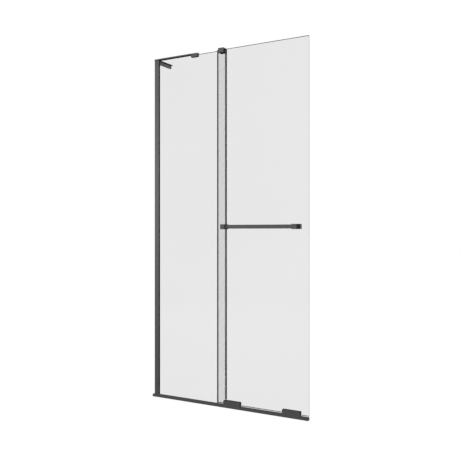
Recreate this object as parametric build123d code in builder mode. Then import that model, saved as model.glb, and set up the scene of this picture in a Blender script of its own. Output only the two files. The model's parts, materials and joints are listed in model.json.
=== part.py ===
"""Sliding walk-in shower screen: a fixed pane on a wall profile, and a door pane rolling on a floor rail.

Millimetres. The origin is the middle of the rail's underside. +X runs from the wall to the free end,
+Y into the shower, +Z up. The door stands drawn out, as wide as it goes.
"""

from build123d import *
import os

os.makedirs("parts", exist_ok=True)

# Driving dimensions: overall
screen_length = 1000.0
fixed_top = 1993.5
glass_thickness = 6.0
pane_gap = 8.0
running_gap = 0.3
pad_thickness = 1.0

# Wall profile
profile_depth = 26.0
profile_width = 31.0
profile_back_width = 19.0
profile_wall = 2.2
profile_wall_gap = 0.5
profile_nose = 3.0
profile_web = 2.0
profile_web_reach = 11.5
profile_cap_thickness = 2.0
pocket_gasket = 2.5
gasket_lip = 2.0
gasket_lip_overlap = 1.0
channel_wall = 2.0
channel_web_gap = 0.5
glass_edge_gap = 1.5
wall_hole_radius = 3.0
wall_hole_count = 4
wall_hole_inset = 95.75
locking_screw_radius = 2.0
locking_head_radius = 3.5
locking_head_height = 2.0
locking_screw_reach = 1.5
locking_screw_inset = 5.5
locking_screw_count = 3
locking_screw_end = 116.25

# Floor rail
rail_depth = 20.0
rail_height = 15.0
rail_edge = 1.0
groove_width = 8.0
groove_floor = 4.0
end_cap_length = 10.0
end_cap_corner = 2.0
end_cap_plug = 12.0
plug_clearance = 0.2
stop_length = 20.0
stop_height = 9.5
buffer_length = 4.0

# Fixed pane
pane_overlap = 49.5
sill_height = 9.5
sill_wall = 2.0
sill_gasket = 2.0
sill_packing = 3.0
fixed_seal_web = 1.5
fixed_seal_leg = 1.2
fixed_seal_cover = 5.6
fixed_seal_fin = 6.0
fixed_seal_plate_gap = 0.8
fixed_seal_head_gap = 3.0

# Brace from the wall to the clamp on the pane's top edge
brace_thickness = 6.5
brace_overhang = 1.5
brace_flange = 17.0
brace_flange_thickness = 3.0
brace_bend = 12.0
brace_wall_reach = 145.5
brace_plate_thickness = 3.5
brace_plate_drop = 16.5
brace_corner = 8.0
brace_profile_gap = 0.5
brace_tongue_length = 22.0
brace_tongue_width = 10.0
brace_tongue_thickness = 3.0
brace_hole_radius = 2.2
brace_hole_pitch = 80.0
brace_hole_end = 28.0
brace_hole_drop = 10.0
clamp_reach = 280.0
clamp_length = 45.0
clamp_depth = 19.0
clamp_drop = 14.0
clamp_rise = 8.0
clamp_edge = 1.5
clamp_pad_inset = 2.0
clamp_screw_spread = 23.0
clamp_screw_depth = 5.0
tongue_clearance = 0.1
top_screw_radius = 2.0
top_screw_head_radius = 4.0
grub_radius = 2.5

# Guide on the fixed pane's free corner
guide_inset = 20.0
guide_length = 35.0
guide_drop = 20.0
guide_rise = 6.5
guide_lip = 12.0
guide_pad = 1.7
guide_web = 5.0
guide_jaw = 8.0
guide_ceiling = 2.5
guide_edge = 1.5
guide_screw_spread = 17.0
guide_screw_depth = 7.0

# Door pane
door_width = 557.0
door_end_gap = 0.5
door_foot = 19.0
door_head_drop = 0.2
door_parked_gap = 14.5
door_seal_web = 2.0
door_seal_front = 1.0
door_seal_back = 0.8
door_seal_cover = 4.0
door_seal_foot = 15.7
sweep_leg = 1.0
sweep_leg_height = 3.0
sweep_end_gap = 1.0

# Carriages and their rollers
carriage_inset_left = 100.5
carriage_inset_right = 96.0
carriage_length = 105.0
carriage_top = 41.6
cover_wall = 2.0
cover_front = 3.0
cover_corner = 4.0
cover_fit = 0.2
rear_plate_thickness = 3.0
plate_foot = 22.0
plate_drop = 2.5
plate_margin = 1.0
plate_corner = 3.0
roller_radius = 13.0
roller_width = 6.0
roller_lift = 0.2
roller_spread = 68.0
roller_pocket_gap = 1.2
roller_pocket_side = 0.5
hub_radius = 8.0
axle_radius = 1.5
axle_fit = 0.05
bolt_radius = 2.5
bolt_head_radius = 4.5
bolt_head_height = 2.0
bolt_spread = 20.0
bolt_height = 30.0
bolt_reach = 8.0
collar_radius = 3.9
glass_hole_radius = 4.0

# Handle
handle_height = 1003.0
handle_inset = 59.0
handle_span = 432.0
block_width = 27.0
block_height = 27.0
block_reach = 47.0
block_edge = 1.0
washer_thickness = 1.0
bar_height = 21.0
bar_thickness = 12.0
bar_setback = 9.0
bar_wall = 1.5
bar_edge = 1.0
spigot_length = 12.0
spigot_clearance = 0.2
handle_screw_radius = 3.0
handle_screw_head_radius = 6.0
handle_screw_depth = 20.0
knob_depth = 23.0
knob_edge = 2.0
stud_knob_depth = 14.0
handle_grub_radius = 2.0
handle_grub_length = 5.0

# Hexagonal sockets, across their flats
grub_socket = 2.5
top_screw_socket = 2.5
locking_socket = 3.0
bolt_socket = 3.0
handle_screw_socket = 4.0
handle_grub_socket = 2.0
socket_depth = 1.5

# Planes and edges that follow from them
wall_x = -screen_length / 2
free_x = screen_length / 2
rail_front = -rail_depth / 2
rail_back = rail_depth / 2
profile_front = rail_back
profile_back = profile_front + profile_depth
profile_face = wall_x + profile_width
profile_back_face = wall_x + profile_back_width
profile_top = fixed_top - profile_cap_thickness
fixed_middle = (profile_front + profile_back) / 2
fixed_front = fixed_middle - glass_thickness / 2
fixed_back = fixed_middle + glass_thickness / 2
door_back = fixed_front - pane_gap
door_front = door_back - glass_thickness
door_right = free_x - door_end_gap
door_left = door_right - door_width
door_top = fixed_top - door_head_drop
door_travel = door_left - door_seal_web - profile_face - door_parked_gap
fixed_edge_x = door_left + pane_overlap
web_back = wall_x + profile_web_reach
web_wall = web_back - profile_web
fixed_left = web_back + glass_edge_gap
fixed_foot = sill_wall + sill_packing
sill_front = fixed_front - sill_gasket - sill_wall
sill_back = fixed_back + sill_gasket + sill_wall
clamp_front = fixed_middle - clamp_depth / 2
clamp_back = fixed_middle + clamp_depth / 2
clamp_x = wall_x + clamp_reach
clamp_left = clamp_x - clamp_length / 2
clamp_right = clamp_x + clamp_length / 2
clamp_foot = fixed_top - clamp_drop
clamp_top = fixed_top + clamp_rise
guide_x = fixed_edge_x - guide_inset
guide_left = guide_x - guide_length / 2
guide_right = guide_x + guide_length / 2
guide_foot = fixed_top - guide_drop
guide_top = fixed_top + guide_rise
carriage_front = rail_front
body_front = carriage_front + cover_front
body_back = door_front - pad_thickness
roller_middle = (body_front + body_back) / 2
roller_height = groove_floor + roller_lift + roller_radius
carriage_foot = rail_height + running_gap
plate_top = carriage_top - plate_drop
fixed_seal_foot = plate_top + fixed_seal_plate_gap
carriage_places = {"left": door_left + carriage_inset_left, "right": door_right - carriage_inset_right}
bolt_offsets = (-bolt_spread / 2, bolt_spread / 2)
roller_offsets = {"outer": -roller_spread / 2, "inner": roller_spread / 2}
handle_left = door_left + handle_inset
handle_right = handle_left + handle_span
block_front = door_front - block_reach
block_back = door_front - washer_thickness
bar_front = block_front + bar_setback
bar_back = bar_front + bar_thickness


def spread(count, inset, length):
    """Heights of a row of holes or screws, evenly spaced between the two insets."""
    pitch = (length - 2 * inset) / (count - 1)
    return [inset + i * pitch for i in range(count)]


def span(first, second, mode=Mode.ADD):
    """A rectangle in the open sketch, from (low, high) along each of its two directions."""
    with Locations(((first[0] + first[1]) / 2, (second[0] + second[1]) / 2)):
        Rectangle(first[1] - first[0], second[1] - second[0], mode=mode)


def block(x, y, z, mode=Mode.ADD):
    """A box in the open part, from (low, high) along X, Y and Z."""
    with Locations(((x[0] + x[1]) / 2, (y[0] + y[1]) / 2, (z[0] + z[1]) / 2)):
        Box(x[1] - x[0], y[1] - y[0], z[1] - z[0], mode=mode)


def rod_y(x, z, radius, y, mode=Mode.ADD):
    """A round rod or hole along Y in the open part, from y[0] to y[1]."""
    with Locations(Location((x, (y[0] + y[1]) / 2, z), (90, 0, 0))):
        Cylinder(radius, y[1] - y[0], mode=mode)


def rod_x(y, z, radius, x, mode=Mode.ADD):
    """A round rod or hole along X in the open part, from x[0] to x[1]."""
    with Locations(Location(((x[0] + x[1]) / 2, y, z), (0, 90, 0))):
        Cylinder(radius, x[1] - x[0], mode=mode)


def rod_z(x, y, radius, z, mode=Mode.ADD):
    """A round rod or hole along Z in the open part, from z[0] to z[1]."""
    with Locations((x, y, (z[0] + z[1]) / 2)):
        Cylinder(radius, z[1] - z[0], mode=mode)


def sunk_head_y(x, z, radius, shank, y, mode=Mode.ADD):
    """A countersunk head or its seat, widest at y and narrowing to the shank towards -Y."""
    depth = radius - shank
    with Locations(Location((x, y - depth / 2, z), (-90, 0, 0))):
        Cone(shank, radius, depth, mode=mode)


def hex_socket(at, facing, across):
    """A hexagonal socket sunk into the open part at a point on a face that looks along facing."""
    with BuildSketch(Plane(origin=at, z_dir=facing)) as outline:
        RegularPolygon(across / 2, 6, major_radius=False)
    extrude(outline.sketch, amount=-socket_depth, mode=Mode.SUBTRACT)


def save(piece, name):
    """Label a finished piece and write it."""
    piece.part.label = name
    export_step(piece.part, f"parts/{name}.step")


# Wall channel, screwed to the wall
wall_hole_heights = spread(wall_hole_count, wall_hole_inset, profile_top)
locking_screw_heights = spread(locking_screw_count, locking_screw_end, profile_top)
channel_front = profile_front + profile_wall + running_gap
channel_back = profile_back - profile_wall - running_gap
channel_end = web_wall - channel_web_gap
with BuildPart() as wall_channel:
    with BuildSketch(Plane.XY):
        span((wall_x, channel_end), (channel_front, channel_back))
        span((wall_x + channel_wall, channel_end),
             (channel_front + channel_wall, channel_back - channel_wall), Mode.SUBTRACT)
    extrude(amount=profile_top)
    for height in wall_hole_heights:
        rod_x(fixed_middle, height, wall_hole_radius, (wall_x, wall_x + channel_wall), Mode.SUBTRACT)
    for height in locking_screw_heights:
        rod_y(wall_x + locking_screw_inset, height, locking_screw_radius,
              (channel_back - channel_wall, channel_back), Mode.SUBTRACT)
save(wall_channel, "wall_channel")

# Glazing profile, which slips over the channel and holds the fixed pane, its inner leg the shorter
profile_start = wall_x + profile_wall_gap
inside_front = profile_front + profile_wall
inside_back = profile_back - profile_wall
with BuildPart() as glazing_profile:
    with BuildSketch(Plane.XY):
        span((profile_start, profile_face), (profile_front, fixed_middle))
        span((profile_start, profile_back_face), (fixed_middle, profile_back))
        span((profile_start, web_wall), (inside_front, inside_back), Mode.SUBTRACT)
        span((web_back, profile_face - profile_nose), (inside_front, fixed_middle), Mode.SUBTRACT)
        span((web_back, profile_back_face - profile_nose), (fixed_middle, inside_back), Mode.SUBTRACT)
        span((profile_face - profile_nose, profile_face),
             (fixed_front - pocket_gasket, fixed_middle), Mode.SUBTRACT)
        span((profile_back_face - profile_nose, profile_back_face),
             (fixed_middle, fixed_back + pocket_gasket), Mode.SUBTRACT)
    extrude(amount=profile_top)
    for height in locking_screw_heights:
        rod_y(wall_x + locking_screw_inset, height, locking_screw_radius,
              (profile_back - profile_wall, profile_back), Mode.SUBTRACT)
save(glazing_profile, "glazing_profile")

# Cap on the profile's top end, notched round the pane
with BuildPart() as profile_cap:
    block((wall_x, profile_back_face), (profile_front, profile_back), (profile_top, fixed_top))
    block((wall_x, profile_face), (profile_front, fixed_middle), (profile_top, fixed_top))
    block((fixed_left - running_gap, profile_face),
          (fixed_front - running_gap, fixed_back + running_gap), (profile_top, fixed_top), Mode.SUBTRACT)
save(profile_cap, "profile_cap")


def pocket_strip(name, face, glass_face, out, lip_foot):
    """Rubber strip between the pane and a leg's nose, out being -1 in front of the pane."""
    nose = glass_face + out * pocket_gasket
    lip = nose + out * gasket_lip_overlap
    with BuildPart() as strip:
        block((face - profile_nose, face), sorted((glass_face, nose)), (fixed_foot, profile_top))
        block((face, face + gasket_lip), sorted((glass_face, lip)), (lip_foot, profile_top))
    save(strip, name)


pocket_strip("gasket_outer", profile_face, fixed_front, -1, sill_height + running_gap)
pocket_strip("gasket_inner", profile_back_face, fixed_back, 1, fixed_foot)

# Screws that lock the glazing profile to the channel, driven from inside the shower
with BuildPart() as locking_screws:
    for height in locking_screw_heights:
        rod_y(wall_x + locking_screw_inset, height, locking_screw_radius,
              (channel_back - channel_wall - locking_screw_reach, profile_back))
        rod_y(wall_x + locking_screw_inset, height, locking_head_radius,
              (profile_back, profile_back + locking_head_height))
        hex_socket((wall_x + locking_screw_inset, profile_back + locking_head_height, height), (0, 1, 0),
                   locking_socket)
save(locking_screws, "locking_screws")

# Floor rail with a groove for the rollers
groove = (roller_middle - groove_width / 2, roller_middle + groove_width / 2)
rail_span = (wall_x, free_x - end_cap_length)
with BuildPart() as rail:
    with BuildSketch(Plane.YZ.offset(wall_x)):
        span((rail_front, rail_back), (0, rail_height))
        span(groove, (groove_floor, rail_height), Mode.SUBTRACT)
    extrude(amount=rail_span[1] - rail_span[0])
    top_edges = rail.edges().filter_by(Axis.X).group_by(Axis.Z)[-1].sort_by(Axis.Y)
    chamfer(top_edges[0], length=rail_edge)
save(rail, "rail")

# End cap with a plug in the groove
with BuildPart() as rail_end_cap:
    block((rail_span[1], free_x), (rail_front, rail_back), (0, rail_height))
    fillet(rail_end_cap.edges().filter_by(Axis.Y).group_by(Axis.X)[-1].sort_by(Axis.Z)[-1],
           radius=end_cap_corner)
    block((rail_span[1] - end_cap_plug, rail_span[1]),
          (groove[0] + plug_clearance, groove[1] - plug_clearance),
          (groove_floor, rail_height - rail_edge))
save(rail_end_cap, "rail_end_cap")

# Stops in the groove, one for each end of the door's travel, with a rubber buffer on each
stop_top = groove_floor + stop_height
roller_bite = (roller_radius**2 - (roller_height - stop_top) ** 2) ** 0.5 + running_gap
outermost_roller = carriage_places["left"] - roller_spread / 2 - door_travel
innermost_roller = carriage_places["right"] + roller_spread / 2
stop_sides = {
    "left": (outermost_roller - roller_bite, -1),
    "right": (innermost_roller + roller_bite, 1),
}
stop_y = (groove[0] + plug_clearance, groove[1] - plug_clearance)
for side, (contact, away) in stop_sides.items():
    seat = contact + away * buffer_length
    with BuildPart() as stop:
        block(sorted((seat, seat + away * stop_length)), stop_y, (groove_floor, stop_top))
    save(stop, f"rail_stop_{side}")
    with BuildPart() as buffer:
        block(sorted((contact, seat)), stop_y, (groove_floor, stop_top))
    save(buffer, f"stop_buffer_{side}")

# Fixed pane
with BuildPart() as fixed_glass:
    block((fixed_left, fixed_edge_x), (fixed_front, fixed_back), (fixed_foot, fixed_top))
save(fixed_glass, "fixed_glass")

# Sill channel under the fixed pane, with its U-shaped rubber
sill_span = (profile_face, fixed_edge_x)
with BuildPart() as sill_channel:
    with BuildSketch(Plane.YZ.offset(profile_face)):
        span((sill_front, sill_back), (0, sill_height))
        span((sill_front + sill_wall, sill_back - sill_wall), (sill_wall, sill_height), Mode.SUBTRACT)
    extrude(amount=sill_span[1] - sill_span[0])
save(sill_channel, "sill_channel")

with BuildPart() as sill_rubber:
    with BuildSketch(Plane.YZ.offset(profile_face)):
        span((sill_front + sill_wall, sill_back - sill_wall), (sill_wall, sill_height))
        span((fixed_front, fixed_back), (fixed_foot, sill_height), Mode.SUBTRACT)
    extrude(amount=sill_span[1] - sill_span[0])
save(sill_rubber, "sill_rubber")

# Edge seal on the fixed pane's free edge, with a fin that nearly meets the door pane
seal_cover_x = fixed_edge_x - fixed_seal_cover
seal_face_x = fixed_edge_x + fixed_seal_web
fin_root_y = fixed_front - fixed_seal_leg
fin_tip_x = seal_face_x - fixed_seal_fin
fin_tip_y = door_back + running_gap
with BuildPart() as fixed_edge_seal:
    with BuildSketch(Plane.XY.offset(fixed_seal_foot)):
        span((seal_cover_x, seal_face_x), (fin_root_y, fixed_back + fixed_seal_leg))
        span((seal_cover_x, fixed_edge_x), (fixed_front, fixed_back), Mode.SUBTRACT)
        with BuildLine():
            Polyline(
                (seal_face_x, fin_root_y),
                (fin_tip_x, fin_tip_y),
                (fin_tip_x - fixed_seal_leg, fin_tip_y),
                (seal_face_x - 2 * fixed_seal_leg, fin_root_y),
                close=True,
            )
        make_face()
    extrude(amount=guide_foot - fixed_seal_head_gap - fixed_seal_foot)
save(fixed_edge_seal, "fixed_edge_seal")

# Brace: a flat bar over the pane, turning along the wall, with a plate down the wall
brace_wall_end = clamp_back + brace_wall_reach
brace_top = fixed_top + brace_thickness
flange_foot = brace_top - brace_flange_thickness
brace_front = profile_front - brace_overhang
plate_span_y = (profile_back + brace_profile_gap, brace_wall_end)
tongue_y = (fixed_middle - brace_tongue_width / 2, fixed_middle + brace_tongue_width / 2)
brace_hole_places = (brace_wall_end - brace_hole_end, brace_wall_end - brace_hole_end - brace_hole_pitch)
with BuildPart() as brace:
    block((wall_x, clamp_left), (brace_front, clamp_back), (fixed_top, brace_top))
    block((wall_x, wall_x + brace_flange), (clamp_back, brace_wall_end), (flange_foot, brace_top))
    fillet(brace.edges().filter_by(Axis.Z).group_by(Axis.X)[1].sort_by(Axis.Y)[0], radius=brace_bend)
    fillet(brace.edges().filter_by(Axis.Z).group_by(Axis.Y)[-1].sort_by(Axis.X)[-1], radius=brace_corner)
    block((wall_x, wall_x + brace_plate_thickness), plate_span_y,
          (fixed_top - brace_plate_drop, flange_foot))
    fillet(brace.edges().filter_by(Axis.X).group_by(Axis.Z)[0].sort_by(Axis.Y)[-1], radius=brace_corner)
    block((clamp_left, clamp_left + brace_tongue_length), tongue_y,
          (fixed_top, fixed_top + brace_tongue_thickness))
    for place in brace_hole_places:
        rod_x(place, fixed_top - brace_hole_drop, brace_hole_radius,
              (wall_x, wall_x + brace_plate_thickness), Mode.SUBTRACT)
    rod_z(clamp_left + brace_tongue_length / 2, fixed_middle, top_screw_radius,
          (fixed_top, fixed_top + brace_tongue_thickness), Mode.SUBTRACT)
save(brace, "brace")

# Clamp that straddles the pane and takes the bar's tongue
top_screw_x = clamp_left + brace_tongue_length / 2
clamp_screw_places = (clamp_x - clamp_screw_spread / 2, clamp_x + clamp_screw_spread / 2)
clamp_screw_height = fixed_top - clamp_drop / 2
clamp_slot = (fixed_front - pad_thickness, fixed_back + pad_thickness)
clamp_screw_span = (clamp_slot[1], clamp_slot[1] + clamp_screw_depth)
top_head_depth = top_screw_head_radius - top_screw_radius
with BuildPart() as clamp_body:
    block((clamp_left, clamp_right), (clamp_front, clamp_back), (clamp_foot, clamp_top))
    chamfer(clamp_body.edges().filter_by(Axis.X).group_by(Axis.Z)[-1], length=clamp_edge)
    block((clamp_left, clamp_right), clamp_slot, (clamp_foot, fixed_top), Mode.SUBTRACT)
    block((clamp_left, clamp_left + brace_tongue_length + tongue_clearance),
          (tongue_y[0] - tongue_clearance, tongue_y[1] + tongue_clearance),
          (fixed_top, fixed_top + brace_tongue_thickness + tongue_clearance), Mode.SUBTRACT)
    for place in clamp_screw_places:
        rod_y(place, clamp_screw_height, grub_radius, (clamp_slot[1], clamp_back), Mode.SUBTRACT)
    rod_z(top_screw_x, fixed_middle, top_screw_radius, (fixed_top, clamp_top), Mode.SUBTRACT)
    with Locations((top_screw_x, fixed_middle, clamp_top - top_head_depth / 2)):
        Cone(top_screw_radius, top_screw_head_radius, top_head_depth, mode=Mode.SUBTRACT)
save(clamp_body, "clamp_body")

with BuildPart() as clamp_top_screw:
    rod_z(top_screw_x, fixed_middle, top_screw_radius, (fixed_top, clamp_top - top_head_depth))
    with Locations((top_screw_x, fixed_middle, clamp_top - top_head_depth / 2)):
        Cone(top_screw_radius, top_screw_head_radius, top_head_depth)
    hex_socket((top_screw_x, fixed_middle, clamp_top), (0, 0, 1), top_screw_socket)
save(clamp_top_screw, "clamp_top_screw")

clamp_pad_x = (clamp_left + clamp_pad_inset, clamp_right - clamp_pad_inset)
clamp_pad_z = (clamp_foot + pad_thickness, fixed_top - pad_thickness)
with BuildPart() as clamp_pads:
    block(clamp_pad_x, (clamp_slot[0], fixed_front), clamp_pad_z)
    block(clamp_pad_x, (fixed_back, clamp_slot[1]), clamp_pad_z)
save(clamp_pads, "clamp_pads")

with BuildPart() as clamp_screws:
    for place in clamp_screw_places:
        rod_y(place, clamp_screw_height, grub_radius, clamp_screw_span)
        hex_socket((place, clamp_screw_span[1], clamp_screw_height), (0, 1, 0), grub_socket)
save(clamp_screws, "clamp_screws")

# Guide: holds the fixed pane's corner and straddles the door pane's top edge
guide_front = door_front - running_gap - guide_pad - guide_lip
door_slot = (door_front - running_gap - guide_pad, door_back + running_gap + guide_pad)
pane_slot = (fixed_front - pad_thickness, fixed_back + pad_thickness)
guide_back = pane_slot[1] + guide_jaw
guide_screw_places = (guide_x - guide_screw_spread / 2, guide_x + guide_screw_spread / 2)
guide_screw_height = fixed_top - guide_drop / 2
with BuildPart() as guide_body:
    block((guide_left, guide_right), (guide_front, guide_back), (guide_foot, guide_top))
    fillet(guide_body.edges().filter_by(Axis.X), radius=guide_edge)
    block((guide_left, guide_right), door_slot, (guide_foot, door_top + guide_ceiling), Mode.SUBTRACT)
    block((guide_left, guide_right), pane_slot, (guide_foot, fixed_top), Mode.SUBTRACT)
    for place in guide_screw_places:
        rod_y(place, guide_screw_height, grub_radius, (pane_slot[1], guide_back), Mode.SUBTRACT)
save(guide_body, "guide_body")

guide_pad_x = (guide_left + clamp_pad_inset, guide_right - clamp_pad_inset)
guide_pad_z = (guide_foot + clamp_pad_inset, door_top - pad_thickness)
with BuildPart() as guide_slide_pads:
    block(guide_pad_x, (door_slot[0], door_slot[0] + guide_pad), guide_pad_z)
    block(guide_pad_x, (door_slot[1] - guide_pad, door_slot[1]), guide_pad_z)
save(guide_slide_pads, "guide_slide_pads")

with BuildPart() as guide_glass_pads:
    block(guide_pad_x, (pane_slot[0], fixed_front), guide_pad_z)
    block(guide_pad_x, (fixed_back, pane_slot[1]), guide_pad_z)
save(guide_glass_pads, "guide_glass_pads")

with BuildPart() as guide_screws:
    for place in guide_screw_places:
        rod_y(place, guide_screw_height, grub_radius, (pane_slot[1], pane_slot[1] + guide_screw_depth))
        hex_socket((place, pane_slot[1] + guide_screw_depth, guide_screw_height), (0, 1, 0), grub_socket)
save(guide_screws, "guide_screws")

# Door pane, drilled for the carriages and the handle
with BuildPart() as door_glass:
    block((door_left, door_right), (door_front, door_back), (door_foot, door_top))
    for middle in carriage_places.values():
        for offset in bolt_offsets:
            rod_y(middle + offset, bolt_height, glass_hole_radius, (door_front, door_back), Mode.SUBTRACT)
    rod_y(handle_left, handle_height, handle_screw_radius, (door_front, door_back), Mode.SUBTRACT)
    sunk_head_y(handle_left, handle_height, handle_screw_head_radius, handle_screw_radius,
                door_back, Mode.SUBTRACT)
    rod_y(handle_right, handle_height, glass_hole_radius, (door_front, door_back), Mode.SUBTRACT)
save(door_glass, "door_glass")

# Seal on the door pane's trailing edge
with BuildPart() as door_edge_seal:
    with BuildSketch(Plane.XY.offset(door_seal_foot)):
        span((door_left - door_seal_web, door_left + door_seal_cover),
             (door_front - door_seal_front, door_back + door_seal_back))
        span((door_left, door_left + door_seal_cover), (door_front, door_back), Mode.SUBTRACT)
    extrude(amount=door_top - door_seal_foot)
save(door_edge_seal, "door_edge_seal")

# Clear sweeps under the door pane, between and beside the carriages
half_carriage = carriage_length / 2 + sweep_end_gap
sweep_spans = (
    (door_left + door_seal_cover + sweep_end_gap, carriage_places["left"] - half_carriage),
    (carriage_places["left"] + half_carriage, carriage_places["right"] - half_carriage),
    (carriage_places["right"] + half_carriage, door_right),
)
sweep_middle = (door_front + door_back) / 2
with BuildPart() as door_sweeps:
    for start, end in sweep_spans:
        block((start, end), (door_front - sweep_leg, door_back + sweep_leg),
              (door_foot - sweep_leg, door_foot + sweep_leg_height))
        block((start, end), (door_front, door_back), (door_foot, door_foot + sweep_leg_height),
              Mode.SUBTRACT)
        block((start, end), (sweep_middle - sweep_leg / 2, sweep_middle + sweep_leg / 2),
              (carriage_foot, door_foot - sweep_leg))
save(door_sweeps, "door_sweeps")

# Carriages
body_length = carriage_length - 2 * (cover_wall + cover_fit)
body_top = carriage_top - cover_wall - cover_fit
rear_front = door_back + pad_thickness
rear_back = rear_front + rear_plate_thickness
plate_z = (plate_foot, plate_top)
pad_half = body_length / 2 - plate_margin
pocket_radius = roller_radius + roller_pocket_gap
pocket_y = (roller_middle - roller_width / 2 - roller_pocket_side,
            roller_middle + roller_width / 2 + roller_pocket_side)
bolt_start = body_back - bolt_reach
for side, middle in carriage_places.items():
    body_x = (middle - body_length / 2, middle + body_length / 2)
    cover_x = (middle - carriage_length / 2, middle + carriage_length / 2)
    pad_x = (middle - pad_half, middle + pad_half)

    with BuildPart() as carriage_body:
        block(body_x, (body_front, body_back), (carriage_foot, body_top))
        for offset in roller_offsets.values():
            rod_y(middle + offset, roller_height, pocket_radius, pocket_y, Mode.SUBTRACT)
            rod_y(middle + offset, roller_height, axle_radius, (body_front, body_back), Mode.SUBTRACT)
        for offset in bolt_offsets:
            rod_y(middle + offset, bolt_height, bolt_radius, (bolt_start, body_back), Mode.SUBTRACT)
    save(carriage_body, f"carriage_{side}_body")

    with BuildPart() as carriage_cover:
        block(cover_x, (carriage_front, door_front - cover_fit), (carriage_foot, carriage_top))
        fillet(carriage_cover.edges().filter_by(Axis.Y).group_by(Axis.Z)[-1], radius=cover_corner)
        block((body_x[0] - cover_fit, body_x[1] + cover_fit), (body_front, door_front),
              (carriage_foot, body_top + cover_fit), Mode.SUBTRACT)
    save(carriage_cover, f"carriage_{side}_cover")

    with BuildPart() as carriage_pads:
        block(pad_x, (body_back, door_front), (plate_z[0], body_top))
        block(pad_x, (door_back, rear_front), plate_z)
        for offset in bolt_offsets:
            rod_y(middle + offset, bolt_height, collar_radius, (door_front, door_back))
            rod_y(middle + offset, bolt_height, bolt_radius, (body_back, rear_front), Mode.SUBTRACT)
    save(carriage_pads, f"carriage_{side}_pads")

    with BuildPart() as carriage_plate:
        block(pad_x, (rear_front, rear_back), plate_z)
        fillet(carriage_plate.edges().filter_by(Axis.Y), radius=plate_corner)
        for offset in bolt_offsets:
            rod_y(middle + offset, bolt_height, bolt_radius, (rear_front, rear_back), Mode.SUBTRACT)
            sunk_head_y(middle + offset, bolt_height, bolt_head_radius, bolt_radius, rear_back,
                        Mode.SUBTRACT)
    save(carriage_plate, f"carriage_{side}_plate")

    with BuildPart() as carriage_bolts:
        for offset in bolt_offsets:
            rod_y(middle + offset, bolt_height, bolt_radius,
                  (bolt_start, rear_back - bolt_head_radius + bolt_radius))
            sunk_head_y(middle + offset, bolt_height, bolt_head_radius, bolt_radius, rear_back)
            hex_socket((middle + offset, rear_back, bolt_height), (0, 1, 0), bolt_socket)
    save(carriage_bolts, f"carriage_{side}_bolts")

    with BuildPart() as carriage_axles:
        for offset in roller_offsets.values():
            rod_y(middle + offset, roller_height, axle_radius, (body_front, body_back))
    save(carriage_axles, f"carriage_{side}_axles")

    roller_y = (roller_middle - roller_width / 2, roller_middle + roller_width / 2)
    for place, offset in roller_offsets.items():
        with BuildPart() as tyre:
            rod_y(middle + offset, roller_height, roller_radius, roller_y)
            rod_y(middle + offset, roller_height, hub_radius, roller_y, Mode.SUBTRACT)
        save(tyre, f"roller_{side}_{place}_tyre")
        with BuildPart() as hub:
            rod_y(middle + offset, roller_height, hub_radius, roller_y)
            rod_y(middle + offset, roller_height, axle_radius + axle_fit, roller_y, Mode.SUBTRACT)
        save(hub, f"roller_{side}_{place}_hub")

# Handle: two end blocks with spigots, and the tube between them
bar_middle_y = (bar_front + bar_back) / 2
block_z = (handle_height - block_height / 2, handle_height + block_height / 2)
bar_z = (handle_height - bar_height / 2, handle_height + bar_height / 2)
spigot_inset = bar_wall + spigot_clearance
spigot_y = (bar_front + spigot_inset, bar_back - spigot_inset)
spigot_z = (bar_z[0] + spigot_inset, bar_z[1] - spigot_inset)
block_inner = {"left": handle_left + block_width / 2, "right": handle_right - block_width / 2}
inward = {"left": 1, "right": -1}
handle_places = {"left": handle_left, "right": handle_right}
screw_y = (block_back - handle_screw_depth, block_back)
grub_places = {side: block_inner[side] + inward[side] * spigot_length / 2 for side in inward}
for side, middle in handle_places.items():
    with BuildPart() as handle_block:
        block((middle - block_width / 2, middle + block_width / 2), (block_front, block_back), block_z)
        fillet(handle_block.edges().group_by(Axis.Y)[0], radius=block_edge)
        block(sorted((block_inner[side], block_inner[side] + inward[side] * spigot_length)),
              spigot_y, spigot_z)
        rod_y(middle, handle_height, handle_screw_radius, screw_y, Mode.SUBTRACT)
        rod_z(grub_places[side], bar_middle_y, handle_grub_radius,
              (bar_z[0], bar_z[0] + handle_grub_length), Mode.SUBTRACT)
    save(handle_block, f"handle_block_{side}")

bar_x = (block_inner["left"], block_inner["right"])
with BuildPart() as handle_bar:
    block(bar_x, (bar_front, bar_back), bar_z)
    fillet(handle_bar.edges().filter_by(Axis.X), radius=bar_edge)
    block(bar_x, (bar_front + bar_wall, bar_back - bar_wall), (bar_z[0] + bar_wall, bar_z[1] - bar_wall),
          Mode.SUBTRACT)
    for place in grub_places.values():
        rod_z(place, bar_middle_y, handle_grub_radius, (bar_z[0], bar_z[0] + bar_wall), Mode.SUBTRACT)
save(handle_bar, "handle_bar")

with BuildPart() as handle_grubs:
    for place in grub_places.values():
        rod_z(place, bar_middle_y, handle_grub_radius, (bar_z[0], bar_z[0] + handle_grub_length))
        hex_socket((place, bar_middle_y, bar_z[0]), (0, 0, -1), handle_grub_socket)
save(handle_grubs, "handle_grubs")

# Washers between the glass and the handle's metal
washer_sites = (
    (handle_left, (block_back, door_front)),
    (handle_right, (block_back, door_front)),
    (handle_right, (door_back, door_back + washer_thickness)),
)
with BuildPart() as handle_washers:
    for middle, faces in washer_sites:
        block((middle - block_width / 2 + block_edge, middle + block_width / 2 - block_edge), faces,
              (block_z[0] + block_edge, block_z[1] - block_edge))
        rod_y(middle, handle_height, handle_screw_radius, faces, Mode.SUBTRACT)
save(handle_washers, "handle_washers")

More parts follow.
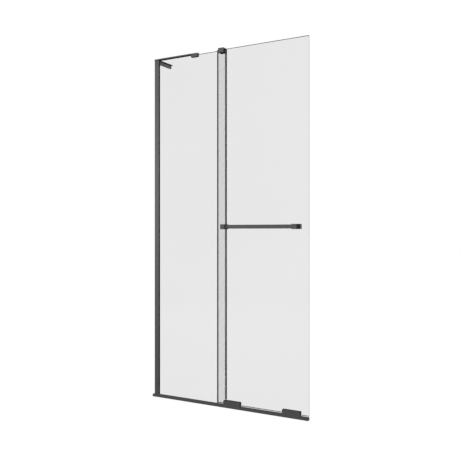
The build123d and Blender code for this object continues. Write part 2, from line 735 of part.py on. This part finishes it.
# Screw that lies flush in the glass, so that it clears the fixed pane's seal
with BuildPart() as handle_screw:
    rod_y(handle_left, handle_height, handle_screw_radius,
          (screw_y[0], door_back - handle_screw_head_radius + handle_screw_radius))
    sunk_head_y(handle_left, handle_height, handle_screw_head_radius, handle_screw_radius, door_back)
    hex_socket((handle_left, door_back, handle_height), (0, 1, 0), handle_screw_socket)
save(handle_screw, "handle_screw")

# Knob inside the shower and the stud that ties it to the right block
knob_y = (door_back + washer_thickness, door_back + washer_thickness + knob_depth)
stud_end = knob_y[0] + stud_knob_depth
with BuildPart() as handle_knob:
    block((handle_right - block_width / 2, handle_right + block_width / 2), knob_y, block_z)
    fillet(handle_knob.edges().group_by(Axis.Y)[-1], radius=knob_edge)
    rod_y(handle_right, handle_height, handle_screw_radius, (knob_y[0], stud_end), Mode.SUBTRACT)
save(handle_knob, "handle_knob")

with BuildPart() as handle_stud:
    rod_y(handle_right, handle_height, handle_screw_radius, (screw_y[0], stud_end))
save(handle_stud, "handle_stud")
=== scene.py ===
"""Looks of a sliding walk-in shower screen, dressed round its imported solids, in metres."""

import json
import math

import bmesh
import bpy
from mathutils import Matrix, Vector


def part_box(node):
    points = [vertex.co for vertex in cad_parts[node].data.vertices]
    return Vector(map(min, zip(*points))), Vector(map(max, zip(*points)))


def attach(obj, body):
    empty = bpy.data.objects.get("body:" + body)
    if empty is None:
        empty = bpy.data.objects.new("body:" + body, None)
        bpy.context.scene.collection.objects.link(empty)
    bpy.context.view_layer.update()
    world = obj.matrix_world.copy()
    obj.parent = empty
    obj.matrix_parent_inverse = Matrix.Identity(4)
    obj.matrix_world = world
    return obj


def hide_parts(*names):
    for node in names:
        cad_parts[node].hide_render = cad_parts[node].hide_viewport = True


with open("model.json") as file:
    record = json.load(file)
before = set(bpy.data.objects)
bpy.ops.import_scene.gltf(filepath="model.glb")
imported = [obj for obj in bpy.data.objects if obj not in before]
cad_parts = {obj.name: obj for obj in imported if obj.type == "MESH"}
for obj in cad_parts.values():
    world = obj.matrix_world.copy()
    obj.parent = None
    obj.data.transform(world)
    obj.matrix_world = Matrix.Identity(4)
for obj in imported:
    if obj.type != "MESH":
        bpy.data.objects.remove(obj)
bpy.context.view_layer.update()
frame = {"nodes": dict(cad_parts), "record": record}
nodes = frame["nodes"]
scene = bpy.context.scene
MM = 0.001
X, Y, Z = range(3)


# Colours

def tinted(value, shares):
    """A colour from one value and its share in red, green and blue."""
    return tuple(value * share for share in shares)


def grey(value, warmth=0.0):
    """A near-neutral colour, warmer for a warmth over 0."""
    return tinted(value, (1 + warmth, 1, 1 - warmth))


def band(value, spread, warmth=0.0):
    """Two near-neutral colours, a share of a value under it and over it."""
    return grey(value * (1 - spread), warmth), grey(value * (1 + spread), warmth)


# Shader building blocks

NOISE_LOW = 0.3
NOISE_HIGH = 0.7


class NodeTree:
    """A tree of shader nodes, and ways to add to it."""

    def __init__(self, tree):
        self.tree = tree

    def add(self, kind, **settings):
        """A new node, with values for its sockets or its own settings."""
        node = self.tree.nodes.new(kind)
        for key, value in settings.items():
            if key in node.inputs:
                node.inputs[key].default_value = value
            else:
                setattr(node, key, value)
        return node

    def join(self, output, target):
        """A link from one node's output to another's socket."""
        self.tree.links.new(output, target)

    def compare(self, operation, source, limit):
        """1 where a value is over or under a limit, and 0 elsewhere."""
        node = self.add("ShaderNodeMath", operation=operation)
        self.join(source, node.inputs[0])
        node.inputs[1].default_value = limit
        return node.outputs["Value"]

    def remap(self, source, low, high, start=0.0, end=1.0):
        """A value between start and end, spread between low and high."""
        node = self.add("ShaderNodeMapRange")
        for key, value in (("From Min", start), ("From Max", end), ("To Min", low), ("To Max", high)):
            node.inputs[key].default_value = value
        self.join(source, node.inputs["Value"])
        return node.outputs["Result"]

    def ramp(self, source, dark, light):
        """A colour from dark to light, over the range where most of a noise lies."""
        node = self.add("ShaderNodeValToRGB")
        stops = ((NOISE_LOW, dark), (NOISE_HIGH, light))
        for element, (position, colour) in zip(node.color_ramp.elements, stops):
            element.position = position
            element.color = (*colour, 1.0)
        self.join(source, node.inputs["Fac"])
        return node.outputs["Color"]

    def noise(self, scale, detail=3.0, stretch=(1, 1, 1)):
        """Noise in the object's own metres, stretched along chosen axes."""
        place = self.add("ShaderNodeTexCoord")
        mapping = self.add("ShaderNodeMapping", Scale=stretch)
        noise = self.add("ShaderNodeTexNoise", Scale=scale, Detail=detail, Roughness=0.5)
        self.join(place.outputs["Object"], mapping.inputs["Vector"])
        self.join(mapping.outputs["Vector"], noise.inputs["Vector"])
        return noise.outputs["Fac"]

    def straight_path(self):
        """1 for light seen straight or through glass alone, 0 once it has lit a surface."""
        path = self.add("ShaderNodeLightPath")
        bounces = self.add("ShaderNodeMath", operation="ADD")
        self.join(path.outputs["Diffuse Depth"], bounces.inputs[0])
        self.join(path.outputs["Glossy Depth"], bounces.inputs[1])
        return self.compare("LESS_THAN", bounces.outputs["Value"], 0.5)


class Look(NodeTree):
    """A material with a Principled shader."""

    def __init__(self, name):
        self.material = bpy.data.materials.new(name)
        self.material.use_nodes = True
        super().__init__(self.material.node_tree)
        self.shader = self.tree.nodes["Principled BSDF"]

    def drive(self, key, output):
        """Let an output drive one of the shader's sockets."""
        self.join(output, self.shader.inputs[key])

    def tone(self, source, dark, light):
        """Base colour that drifts with a noise."""
        self.drive("Base Color", self.ramp(source, dark, light))

    def sheen(self, source, low, high):
        """Roughness that drifts with a noise."""
        self.drive("Roughness", self.remap(source, low, high))

    def bump(self, height, strength, distance):
        """Small relief that follows a height."""
        node = self.add("ShaderNodeBump", Strength=strength, Distance=distance)
        self.join(height, node.inputs["Height"])
        self.drive("Normal", node.outputs["Normal"])

    def set(self, **values):
        """Constant values, written on the shader's own sockets."""
        for key, value in values.items():
            self.shader.inputs[key.replace("_", " ")].default_value = value


def colour_socket(sockets, name):
    """The colour socket of that name, on a node that has the name for other kinds too."""
    return next(socket for socket in sockets if socket.name == name and socket.type == "RGBA")


# Materials

def coated_metal(name, tone, roughness):
    """Satin anthracite powder coat: a fine orange peel, with a slight drift in tone and sheen."""
    look = Look(name)
    look.tone(look.noise(9.0, detail=4.0), *band(tone, 0.06, warmth=0.01))
    look.sheen(look.noise(700.0, detail=2.0), roughness - 0.06, roughness + 0.06)
    look.bump(look.noise(1400.0, detail=1.0), strength=0.1, distance=0.2 * MM)
    look.set(Metallic=0.0, IOR=1.45)
    return look.material


def clear_glass(name, tint):
    """Clear toughened glass, its colour a little uneven, with the faintest haze."""
    look = Look(name)
    look.tone(look.noise(1.5, detail=1.0), *band(tint, 0.005))
    look.sheen(look.noise(5.0, detail=5.0), 0.0, 0.015)
    look.set(Transmission_Weight=1.0, IOR=1.5)
    return look.material


def ground_edge_painted_shade(name, tone, roughness):
    """Ground and dulled top edge of the glass, with the fine scratches of the wheel along it; its near-black
    tone is painted shade, the dark line the top edge shows.
    """
    look = Look(name)
    scratches = look.noise(1200.0, detail=2.0, stretch=(0.02, 1, 0.02))
    look.tone(scratches, tinted(tone, (0.8, 0.86, 0.84)), tinted(tone, (1.1, 1.2, 1.16)))
    look.sheen(scratches, roughness - 0.1, roughness + 0.1)
    look.bump(scratches, strength=0.2, distance=0.1 * MM)
    look.set(IOR=1.5)
    return look.material


def polished_edge(name, tint):
    """Polished edges of the glass, slightly frosted: the uprights, the foot and the holes."""
    look = Look(name)
    frost = look.noise(900.0, detail=2.0, stretch=(1, 1, 0.05))
    look.tone(frost, tinted(tint, (0.97, 1, 0.99)), grey(tint))
    look.sheen(frost, 0.10, 0.30)
    look.set(Transmission_Weight=1.0, IOR=1.5)
    return look.material


def soft_plastic(name, tone, roughness, scale=300.0, warmth=0.0, strength=0.15):
    """Rubber or moulded plastic: matt, with a fine moulded grain."""
    look = Look(name)
    look.tone(look.noise(40.0, detail=4.0), *band(tone, 0.12, warmth))
    grain = look.noise(scale)
    look.sheen(grain, roughness - 0.08, roughness + 0.08)
    look.bump(grain, strength, distance=0.1 * MM)
    look.set(IOR=1.5)
    return look.material


def clear_vinyl(name):
    """Soft clear vinyl, faintly clouded, with fine lines along its length."""
    look = Look(name)
    cloud = look.noise(30.0)
    look.tone(cloud, (0.97, 0.98, 0.98), grey(0.99))
    look.sheen(cloud, 0.02, 0.08)
    look.bump(look.noise(500.0, detail=1.0, stretch=(0.01, 1, 1)), strength=0.1, distance=0.2 * MM)
    look.set(Transmission_Weight=1.0, IOR=1.15)
    return look.material


def smoke_vinyl(name, leg_tint, painted_shade_web_tint, painted_shade_web_start):
    """Soft vinyl drawn along its length: pale legs on the pane, and a web over its edge tinted dark as
    painted shade of its shadowed side.
    """
    look = Look(name)
    place = look.add("ShaderNodeTexCoord")
    axes = look.add("ShaderNodeSeparateXYZ")
    look.join(place.outputs["Object"], axes.inputs["Vector"])
    cloud = look.noise(30.0)
    blend = look.add("ShaderNodeMix", data_type="RGBA")
    # Past the pane's edge the tint turns dark: painted shade on the seal's web, not a colour of the vinyl.
    look.join(look.compare("GREATER_THAN", axes.outputs["X"], painted_shade_web_start), blend.inputs["Factor"])
    for key, tint in (("A", leg_tint), ("B", painted_shade_web_tint)):
        look.join(look.ramp(cloud, *band(tint, 0.04)), colour_socket(blend.inputs, key))
    look.drive("Base Color", colour_socket(blend.outputs, "Result"))
    look.sheen(cloud, 0.10, 0.20)
    look.bump(look.noise(500.0, detail=1.0, stretch=(1, 1, 0.01)), strength=0.1, distance=0.2 * MM)
    look.set(Transmission_Weight=0.95, IOR=1.25)
    return look.material


def stainless(name):
    """Turned stainless steel with fine tool lines."""
    look = Look(name)
    lines = look.noise(900.0, detail=2.0, stretch=(1, 0.05, 1))
    look.tone(lines, grey(0.46, 0.01), grey(0.60, 0.01))
    look.sheen(lines, 0.24, 0.40)
    look.bump(lines, strength=0.08, distance=0.1 * MM)
    look.set(Metallic=1.0)
    return look.material


pane_edge_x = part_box("fixed_glass")[1][0]
looks = {
    "dark_metal": coated_metal("anthracite_coat", tone=0.088, roughness=0.46),
    "clear_glass": clear_glass("clear_pane", tint=0.872),
    "black_rubber": soft_plastic("black_rubber", tone=0.022, roughness=0.62),
    # The web's dark tint is painted shade of the seal's shadowed side.
    "smoke_vinyl": smoke_vinyl("smoke_vinyl", leg_tint=0.98, painted_shade_web_tint=0.10, painted_shade_web_start=pane_edge_x),
    "clear_vinyl": clear_vinyl("clear_vinyl"),
    "dark_plastic": soft_plastic("anthracite_plastic", tone=0.075, roughness=0.50, scale=500.0, warmth=0.01),
    "nylon": soft_plastic("white_nylon", tone=0.72, roughness=0.38, warmth=0.02, strength=0.08),
    "steel": stainless("stainless"),
}
pane_looks = (
    looks["clear_glass"],
    # The ground edge's near-black tone is painted shade along the panes' top edges.
    ground_edge_painted_shade("ground_edge_painted_shade", tone=0.012, roughness=0.55),
    polished_edge("polished_edge", tint=0.90),
)
SHADED_GROUND_FACE = 1
POLISHED_FACE = 2
slots = {row["node"]: row["material_slot"] for row in frame["record"]["subparts"]}


# Softened edges

WELD_DISTANCE = 0.01 * MM
BEVEL_STEPS = 2
BEVEL_ANGLE = math.radians(35)
FACE_WEIGHT = 100
edge_radius = {
    "dark_metal": 0.35 * MM,
    "black_rubber": 0.25 * MM,
    "smoke_vinyl": 0.25 * MM,
    "clear_vinyl": 0.15 * MM,
    "dark_plastic": 0.35 * MM,
    "nylon": 0.3 * MM,
    "steel": 0.2 * MM,
}


def soften(piece, width):
    """Weld the solid's split corners and round its edges a little."""
    weld = piece.modifiers.new("weld", "WELD")
    weld.merge_threshold = WELD_DISTANCE
    bevel = piece.modifiers.new("bevel", "BEVEL")
    bevel.width = width
    bevel.segments = BEVEL_STEPS
    bevel.limit_method = "ANGLE"
    bevel.angle_limit = BEVEL_ANGLE
    bevel.use_clamp_overlap = True
    flatten = piece.modifiers.new("flatten", "WEIGHTED_NORMAL")
    flatten.mode = "FACE_AREA"
    flatten.weight = FACE_WEIGHT


for name, piece in nodes.items():
    slot = slots[name]
    piece.data.materials.clear()
    piece.data.materials.append(looks[slot])
    if slot in edge_radius:
        soften(piece, edge_radius[slot])


# Panes, with ground arrises and bored holes

ARRIS = 2.9 * MM
FOOT_ARRIS = 1.3 * MM
ARRIS_STEPS = 4
CORNER = 3.0 * MM
CORNER_STEPS = 5
HOLE_STEPS = 32


def rounded_outline(low, high, inset):
    """Points round a rectangle in X and Z with round corners, drawn in by an inset, less at its foot."""
    radius = CORNER - inset
    foot_shift = inset * (1 - FOOT_ARRIS / ARRIS)
    left, right = low[X] + CORNER, high[X] - CORNER
    foot, top = low[Z] + CORNER - foot_shift, high[Z] - CORNER
    points = []
    for x, z, start in ((right, top, 0), (left, top, 90), (left, foot, 180), (right, foot, 270)):
        for step in range(CORNER_STEPS):
            angle = math.radians(start + 90 * step / (CORNER_STEPS - 1))
            points.append((x + radius * math.cos(angle), z + radius * math.sin(angle)))
    return points


def circle_outline(x, z, radius):
    """Points round a circle in X and Z."""
    turns = [2 * math.pi * step / HOLE_STEPS for step in range(HOLE_STEPS)]
    return [(x + radius * math.cos(turn), z + radius * math.sin(turn)) for turn in turns]


def arris_steps(thickness):
    """Distances from the front with their insets, round the front arris and then the back one."""
    turns = [math.pi / 2 * step / (ARRIS_STEPS - 1) for step in range(ARRIS_STEPS)]
    front = [(ARRIS * (1 - math.sin(turn)), ARRIS * (1 - math.cos(turn))) for turn in reversed(turns)]
    return front + [(thickness - y, inset) for y, inset in reversed(front)]


def along_top(start, end, middle_height):
    """Whether a step of the pane's outline runs along its top."""
    return abs(start.x - end.x) >= abs(start.z - end.z) and start.z >= middle_height


def pane_mesh(name, low, high, holes):
    """The pane's rim and the walls of its holes, closed by a front face and a back face."""
    rim = [(y, rounded_outline(low, high, inset)) for y, inset in arris_steps(high[Y] - low[Y])]
    bores = [[(y, circle_outline(x, z, radius)) for y, radius in bore] for x, z, bore in holes]
    mesh = bmesh.new()
    front_edges = []
    back_edges = []
    for wall in (rim, *bores):
        rings = [[mesh.verts.new((x, low[Y] + y, z)) for x, z in outline] for y, outline in wall]
        for near, far in zip(rings, rings[1:]):
            for i in range(len(near)):
                j = (i + 1) % len(near)
                face = mesh.faces.new((near[i], near[j], far[j], far[i]))
                # Faces along the pane's top take the ground edge look, whose near-black tone is painted
                # shade.
                ground = wall is rim and along_top(near[i].co, near[j].co, (low[Z] + high[Z]) / 2)
                face.material_index = SHADED_GROUND_FACE if ground else POLISHED_FACE
        for edges, ring in ((front_edges, rings[0]), (back_edges, rings[-1])):
            edges += [mesh.edges.get((ring[i], ring[(i + 1) % len(ring)])) for i in range(len(ring))]
    for edges in (front_edges, back_edges):
        bmesh.ops.triangle_fill(mesh, edges=edges, use_beauty=True)
    bmesh.ops.recalc_face_normals(mesh, faces=mesh.faces)
    data = bpy.data.meshes.new(name)
    mesh.to_mesh(data)
    mesh.free()
    return data


def make_pane(name, node, body, holes):
    """A pane the size of its node, with holes given as (x, z, [(distance from the front, radius), ...])."""
    low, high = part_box(node)
    data = pane_mesh(name, low, high, holes)
    for look in pane_looks:
        data.materials.append(look)
    piece = bpy.data.objects.new(name, data)
    scene.collection.objects.link(piece)
    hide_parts(node)
    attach(piece, body)
    return piece


BOLT_SPREAD = 20 * MM
BOLT_HEIGHT = 30 * MM
GLASS_HOLE = 4 * MM
HOLE_RIM = 0.5 * MM
SCREW_HOLE = 3 * MM
SCREW_SINK = 6 * MM
door_low, door_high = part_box("door_glass")
door_thickness = door_high[Y] - door_low[Y]
plain_bore = [
    (0, GLASS_HOLE + HOLE_RIM),
    (HOLE_RIM, GLASS_HOLE),
    (door_thickness - HOLE_RIM, GLASS_HOLE),
    (door_thickness, GLASS_HOLE + HOLE_RIM),
]
sunk_bore = [
    (0, SCREW_HOLE),
    (door_thickness - SCREW_SINK + SCREW_HOLE, SCREW_HOLE),
    (door_thickness, SCREW_SINK),
]


def middle(node, axis):
    """The middle of a node's box along one axis."""
    low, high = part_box(node)
    return (low[axis] + high[axis]) / 2


door_holes = [(middle(f"carriage_{side}_cover", X) + offset, BOLT_HEIGHT, plain_bore)
              for side in ("left", "right") for offset in (-BOLT_SPREAD / 2, BOLT_SPREAD / 2)]
door_holes.append((middle("handle_stud", X), middle("handle_stud", Z), plain_bore))
door_holes.append((middle("handle_screw", X), middle("handle_screw", Z), sunk_bore))

# Both panes, passed over by every light that is linked to this collection
no_images = bpy.data.collections.new("no_images")
no_images.objects.link(make_pane("fixed_pane", "fixed_glass", "frame", []))
no_images.objects.link(make_pane("door_pane", "door_glass", "door", door_holes))
for entry in no_images.collection_objects:
    entry.light_linking.link_state = "EXCLUDE"


# Floor and sky, both dimmed where they light the object

FLOOR_SIZE = 120.0
FLOOR_DROP = 0.5 * MM
FLOOR_DIM = 0.1
SKY_DIM = 0.03


def paint_floor(name, emission, albedo, near, far):
    """Pale floor that gives off most of its own tone, with a little more at a distance."""
    look = Look(name)
    place = look.add("ShaderNodeTexCoord")
    distance = look.add("ShaderNodeVectorMath", operation="LENGTH")
    look.join(place.outputs["Object"], distance.inputs[0])
    glow = look.add("ShaderNodeMath", operation="MULTIPLY")
    look.join(look.remap(distance.outputs["Value"], emission, 1.0, near, far), glow.inputs[0])
    look.join(look.remap(look.straight_path(), FLOOR_DIM, 1.0), glow.inputs[1])
    look.drive("Emission Strength", glow.outputs["Value"])
    look.set(Base_Color=(*grey(albedo), 1.0), Roughness=1.0, Specular_IOR_Level=0.0)
    look.set(Emission_Color=(1.0, 1.0, 1.0, 1.0))
    return look.material


bpy.ops.mesh.primitive_plane_add(size=FLOOR_SIZE, location=(0, 0, -FLOOR_DROP))
floor = bpy.context.object
floor.name = "floor"
floor.data.materials.append(paint_floor("floor_white", emission=0.985, albedo=0.03, near=1.5, far=9.0))
floor.visible_diffuse = False
floor.visible_glossy = False

world = bpy.data.worlds.new("studio")
scene.world = world
world.use_nodes = True
sky = NodeTree(world.node_tree)
background = sky.tree.nodes["Background"]
background.inputs["Color"].default_value = (1, 1, 1, 1)
sky.join(sky.remap(sky.straight_path(), SKY_DIM, 1.0), background.inputs["Strength"])


# Lights: name, place, width and power of each

LIGHT_TARGET = Vector((0, 0, 1.0))
softboxes = (
    ("front_high", (-0.4, -4.8, 3.2), 2.0, 76),
    ("front_right", (1.6, -5.0, 1.4), 2.0, 83),
    ("front_left", (-5.5, -3.5, 1.8), 2.0, 195),
    ("side_left", (-5.0, -1.0, 2.5), 2.0, 30),
    ("side_right", (4.5, -0.5, 1.5), 1.6, 21),
    ("rear_right", (3.6, 2.9, 2.0), 1.4, 165),
    ("rear_left", (-3.2, 3.4, 2.4), 2.0, 60),
)


def softbox(name, place, width, power):
    """A square studio light, unseen itself and with no image in the panes."""
    light = bpy.data.lights.new(name, "AREA")
    light.shape = "SQUARE"
    light.size = width
    light.energy = power
    lamp = bpy.data.objects.new(name, light)
    scene.collection.objects.link(lamp)
    lamp.visible_camera = False
    lamp.visible_transmission = False
    lamp.light_linking.receiver_collection = no_images
    lamp.location = place
    lamp.rotation_euler = (LIGHT_TARGET - Vector(place)).to_track_quat("-Z", "Y").to_euler()


for row in softboxes:
    softbox(*row)


# Camera, level, where the photograph was taken

FRAME_PX = 460
FOCAL_PX = 653.88
HORIZON_PX = 231.28
SENSOR_MM = 36.0
CAMERA_PLACE = (1.87342, -3.11016, 0.97791)
CAMERA_TURN = 0.53558
CAMERA_REACH = 200

camera_data = bpy.data.cameras.new("camera")
camera = bpy.data.objects.new("camera", camera_data)
scene.collection.objects.link(camera)
camera.location = CAMERA_PLACE
camera.rotation_euler = (math.radians(90), 0, CAMERA_TURN)
camera_data.sensor_width = SENSOR_MM
camera_data.lens = FOCAL_PX / FRAME_PX * SENSOR_MM
camera_data.shift_y = (HORIZON_PX - FRAME_PX / 2) / FRAME_PX
camera_data.clip_end = CAMERA_REACH
scene.camera = camera
scene.view_settings.view_transform = "Standard"
